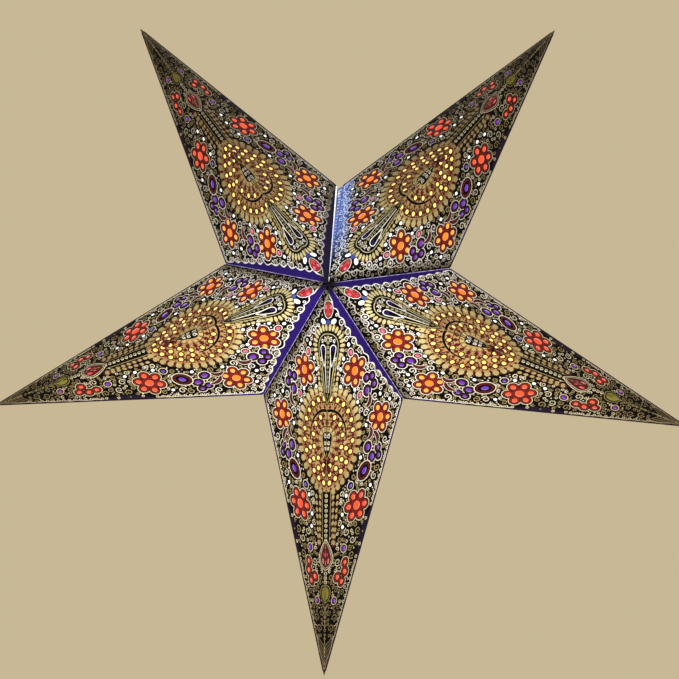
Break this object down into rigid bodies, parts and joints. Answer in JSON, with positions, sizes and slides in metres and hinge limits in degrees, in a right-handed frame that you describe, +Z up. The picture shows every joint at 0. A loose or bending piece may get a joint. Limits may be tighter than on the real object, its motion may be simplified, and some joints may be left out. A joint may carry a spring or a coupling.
{
  "type": "folding paper star lantern",
  "caption": "Hanging paper star lantern, creased card panels that open at a seam, pierced windows, and a lampholder with a screw-in bulb inside.",
  "frame": {"origin": "centre of the hanging eyelet, in the star's middle plane, near the top of the open seam", "axes": "+Z up along the seam, -Y the front of the star, +X to the right seen from the front"},
  "size_m": [0.5984, 0.187, 0.5672],
  "materials": {
    "printed_card": "matt printed card",
    "plain_card": "matt card",
    "hook_and_loop": "looped",
    "white_plastic": "moulded",
    "brass": "polished",
    "ceramic": "plain",
    "nickel_cap": "satin",
    "frosted_glass": "frosted",
    "light_column": "moulded"
  },
  "bodies": {
    "root": {"hanger_plate": "white_plastic", "hanging_eyelet": "brass", "lampholder_cap": "white_plastic", "lampholder_skirt": "white_plastic", "shade_ring": "white_plastic", "socket_centre_contact": "brass", "socket_core": "ceramic", "socket_thread_shell": "brass"},
    "bottom_point_back_left": {"bottom_point_back_left": "printed_card", "valley_flap_lower_left_back": "plain_card"},
    "bottom_point_back_right": {"bottom_point_back_right": "printed_card", "valley_flap_lower_right_back": "plain_card"},
    "bottom_point_front_left": {"bottom_point_front_left": "printed_card", "valley_flap_lower_left_front": "plain_card"},
    "bottom_point_front_right": {"bottom_point_front_right": "printed_card", "valley_flap_lower_right_front": "plain_card"},
    "bulb_end": {"bulb_end_contact": "nickel_cap"},
    "bulb": {"bulb_globe": "frosted_glass", "bulb_light_column": "light_column", "bulb_screw_cap": "nickel_cap"},
    "upper_left_point_back_left": {"closing_pad_left_back": "hook_and_loop", "seam_flap_left_back": "plain_card", "upper_left_point_back_left": "printed_card"},
    "upper_left_point_front_left": {"closing_pad_left_front": "hook_and_loop", "seam_flap_left_front": "plain_card", "upper_left_point_front_left": "printed_card"},
    "upper_right_point_back_right": {"closing_pad_right_back": "hook_and_loop", "seam_flap_right_back": "plain_card", "upper_right_point_back_right": "printed_card"},
    "upper_right_point_front_right": {"closing_pad_right_front": "hook_and_loop", "seam_flap_right_front": "plain_card", "upper_right_point_front_right": "printed_card"},
    "left_point_back_left": {"left_point_back_left": "printed_card", "valley_flap_upper_left_back": "plain_card"},
    "left_point_back_right": {"left_point_back_right": "printed_card"},
    "left_point_front_left": {"left_point_front_left": "printed_card", "valley_flap_upper_left_front": "plain_card"},
    "left_point_front_right": {"left_point_front_right": "printed_card"},
    "right_point_back_left": {"right_point_back_left": "printed_card"},
    "right_point_back_right": {"right_point_back_right": "printed_card", "valley_flap_upper_right_back": "plain_card"},
    "right_point_front_left": {"right_point_front_left": "printed_card"},
    "right_point_front_right": {"right_point_front_right": "printed_card", "valley_flap_upper_right_front": "plain_card"},
    "upper_left_point_back_right": {"upper_left_point_back_right": "printed_card"},
    "upper_left_point_front_right": {"upper_left_point_front_right": "printed_card"},
    "upper_right_point_back_left": {"upper_right_point_back_left": "printed_card"},
    "upper_right_point_front_left": {"upper_right_point_front_left": "printed_card"}
  },
  "joints": [
    {"name": "seam_open", "type": "hinge", "parent": "root", "child": "bottom_point_front_right", "pos_m": [0, -0.09355, -0.09867], "axis": [0, -0.2846, 0.9586], "range_deg": [0, 13.45]},
    {"name": "fold_bottom_point_back_right", "type": "hinge", "parent": "bottom_point_front_right", "child": "bottom_point_back_right", "pos_m": [0, 0, -0.4138], "axis": [-0.2526, 0, -0.9676], "range_deg": [0, 26.22]},
    {"name": "fold_right_point_front_left", "type": "hinge", "parent": "bottom_point_front_right", "child": "right_point_front_left", "pos_m": [0, -0.095, -0.0938], "axis": [0.4327, 0.6709, -0.6022], "range_deg": [0, 26.91]},
    {"name": "fold_right_point_back_left", "type": "hinge", "parent": "right_point_front_left", "child": "right_point_back_left", "pos_m": [0.30329, 0, -0.19587], "axis": [0.9976, 0, -0.0692], "range_deg": [-26.22, 0]},
    {"name": "fold_right_point_front_right", "type": "hinge", "parent": "right_point_front_left", "child": "right_point_front_right", "pos_m": [0, -0.095, -0.0938], "axis": [0.9086, 0.2846, -0.3058], "range_deg": [-26.91, 0]},
    {"name": "fold_right_point_back_right", "type": "hinge", "parent": "right_point_front_right", "child": "right_point_back_right", "pos_m": [0.30329, 0, -0.19587], "axis": [0.8365, 0, -0.548], "range_deg": [0, 26.22]},
    {"name": "fold_upper_right_point_front_left", "type": "hinge", "parent": "right_point_front_right", "child": "upper_right_point_front_left", "pos_m": [0, -0.095, -0.0938], "axis": [0.7088, 0.6709, 0.218], "range_deg": [0, 26.91]},
    {"name": "fold_upper_right_point_back_left", "type": "hinge", "parent": "upper_right_point_front_left", "child": "upper_right_point_back_left", "pos_m": [0.19347, 0, 0.16109], "axis": [0.3838, 0, 0.9234], "range_deg": [-26.22, 0]},
    {"name": "fold_upper_right_point_front_right", "type": "hinge", "parent": "upper_right_point_front_left", "child": "upper_right_point_front_right", "pos_m": [0, -0.095, -0.0938], "axis": [0.5796, 0.2846, 0.7636], "range_deg": [-26.91, 0]},
    {"name": "fold_upper_right_point_back_right", "type": "hinge", "parent": "upper_right_point_front_right", "child": "upper_right_point_back_right", "pos_m": [0.19347, 0, 0.16109], "axis": [0.7862, 0, 0.618], "range_deg": [0, 26.22]},
    {"name": "fold_bottom_point_front_left", "type": "hinge", "parent": "root", "child": "bottom_point_front_left", "pos_m": [0, -0.09355, -0.09867], "axis": [0, 0.2846, -0.9586], "range_deg": [0, 13.45]},
    {"name": "fold_bottom_point_back_left", "type": "hinge", "parent": "bottom_point_front_left", "child": "bottom_point_back_left", "pos_m": [0, 0, -0.4138], "axis": [-0.2526, 0, 0.9676], "range_deg": [0, 26.22]},
    {"name": "fold_left_point_front_right", "type": "hinge", "parent": "bottom_point_front_left", "child": "left_point_front_right", "pos_m": [0, -0.095, -0.0938], "axis": [0.4327, -0.6709, 0.6022], "range_deg": [0, 26.91]},
    {"name": "fold_left_point_back_right", "type": "hinge", "parent": "left_point_front_right", "child": "left_point_back_right", "pos_m": [-0.30329, 0, -0.19587], "axis": [0.9976, 0, 0.0692], "range_deg": [-26.22, 0]},
    {"name": "fold_left_point_front_left", "type": "hinge", "parent": "left_point_front_right", "child": "left_point_front_left", "pos_m": [0, -0.095, -0.0938], "axis": [0.9086, -0.2846, 0.3058], "range_deg": [-26.91, 0]},
    {"name": "fold_left_point_back_left", "type": "hinge", "parent": "left_point_front_left", "child": "left_point_back_left", "pos_m": [-0.30329, 0, -0.19587], "axis": [0.8365, 0, 0.548], "range_deg": [0, 26.22]},
    {"name": "fold_upper_left_point_front_right", "type": "hinge", "parent": "left_point_front_left", "child": "upper_left_point_front_right", "pos_m": [0, -0.095, -0.0938], "axis": [0.7088, -0.6709, -0.218], "range_deg": [0, 26.91]},
    {"name": "fold_upper_left_point_back_right", "type": "hinge", "parent": "upper_left_point_front_right", "child": "upper_left_point_back_right", "pos_m": [-0.19347, 0, 0.16109], "axis": [0.3838, 0, -0.9234], "range_deg": [-26.22, 0]},
    {"name": "fold_upper_left_point_front_left", "type": "hinge", "parent": "upper_left_point_front_right", "child": "upper_left_point_front_left", "pos_m": [0, -0.095, -0.0938], "axis": [0.5796, -0.2846, -0.7636], "range_deg": [-26.91, 0]},
    {"name": "fold_upper_left_point_back_left", "type": "hinge", "parent": "upper_left_point_front_left", "child": "upper_left_point_back_left", "pos_m": [-0.19347, 0, 0.16109], "axis": [0.7862, 0, -0.618], "range_deg": [0, 26.22]},
    {"name": "bulb_slide", "type": "slide", "parent": "root", "child": "bulb_end", "axis": [0, 0, -1], "range_m": [0, 0.01693]},
    {"name": "bulb_turn", "type": "hinge", "parent": "bulb_end", "child": "bulb", "pos_m": [0, 0, -0.0572], "axis": [0, 0, -1], "range_deg": [0, 2160]}
  ],
  "couplings": [
    {"joint": "fold_bottom_point_back_right", "follows": "seam_open", "ratio": 1.9488},
    {"joint": "fold_right_point_front_left", "follows": "seam_open", "ratio": 2.0005},
    {"joint": "fold_right_point_back_left", "follows": "seam_open", "ratio": -1.9488},
    {"joint": "fold_right_point_front_right", "follows": "seam_open", "ratio": -2},
    {"joint": "fold_right_point_back_right", "follows": "seam_open", "ratio": 1.9488},
    {"joint": "fold_upper_right_point_front_left", "follows": "seam_open", "ratio": 2.0005},
    {"joint": "fold_upper_right_point_back_left", "follows": "seam_open", "ratio": -1.9488},
    {"joint": "fold_upper_right_point_front_right", "follows": "seam_open", "ratio": -2},
    {"joint": "fold_upper_right_point_back_right", "follows": "seam_open", "ratio": 1.9488},
    {"joint": "fold_bottom_point_front_left", "follows": "seam_open", "ratio": 1},
    {"joint": "fold_bottom_point_back_left", "follows": "seam_open", "ratio": 1.9488},
    {"joint": "fold_left_point_front_right", "follows": "seam_open", "ratio": 2.0005},
    {"joint": "fold_left_point_back_right", "follows": "seam_open", "ratio": -1.9488},
    {"joint": "fold_left_point_front_left", "follows": "seam_open", "ratio": -2},
    {"joint": "fold_left_point_back_left", "follows": "seam_open", "ratio": 1.9488},
    {"joint": "fold_upper_left_point_front_right", "follows": "seam_open", "ratio": 2.0005},
    {"joint": "fold_upper_left_point_back_right", "follows": "seam_open", "ratio": -1.9488},
    {"joint": "fold_upper_left_point_front_left", "follows": "seam_open", "ratio": -2},
    {"joint": "fold_upper_left_point_back_left", "follows": "seam_open", "ratio": 1.9488},
    {"joint": "bulb_slide", "follows": "bulb_turn", "m_per_rad": 0.00044882}
  ]
}
